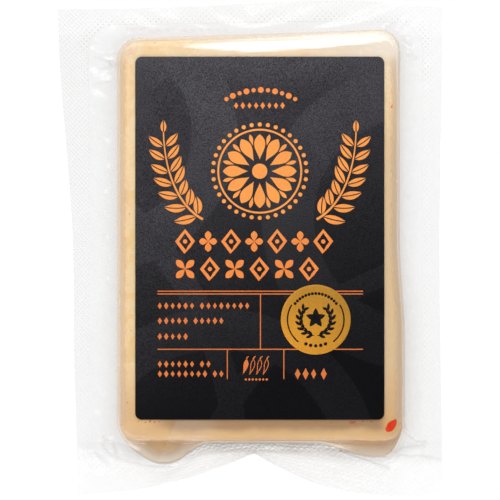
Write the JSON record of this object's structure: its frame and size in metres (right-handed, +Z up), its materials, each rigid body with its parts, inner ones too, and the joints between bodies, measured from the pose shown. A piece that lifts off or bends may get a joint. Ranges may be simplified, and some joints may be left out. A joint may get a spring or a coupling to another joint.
{
  "type": "vacuum pack of folded halloumi",
  "caption": "Flat block of folded halloumi sealed in a clear vacuum pouch with a wide flange, a dark label and a round sticker on its front.",
  "frame": {"origin": "middle of the pack's outline, on the plane that the pack lies on", "axes": "+Z up, out of the labelled front; +Y towards the label's top; +X to the label's right"},
  "size_m": [0.1106, 0.1428, 0.024],
  "materials": {
    "cheese": "moist pale cheese seen through film",
    "film": "clear, slightly milky vacuum film, embossed along its seals",
    "label": "satin charcoal label stock with orange print",
    "sticker": "satin gold foil sticker"
  },
  "bodies": {
    "root": {"pouch": "cheese", "label": "label", "award_sticker": "sticker"}
  },
  "joints": []
}
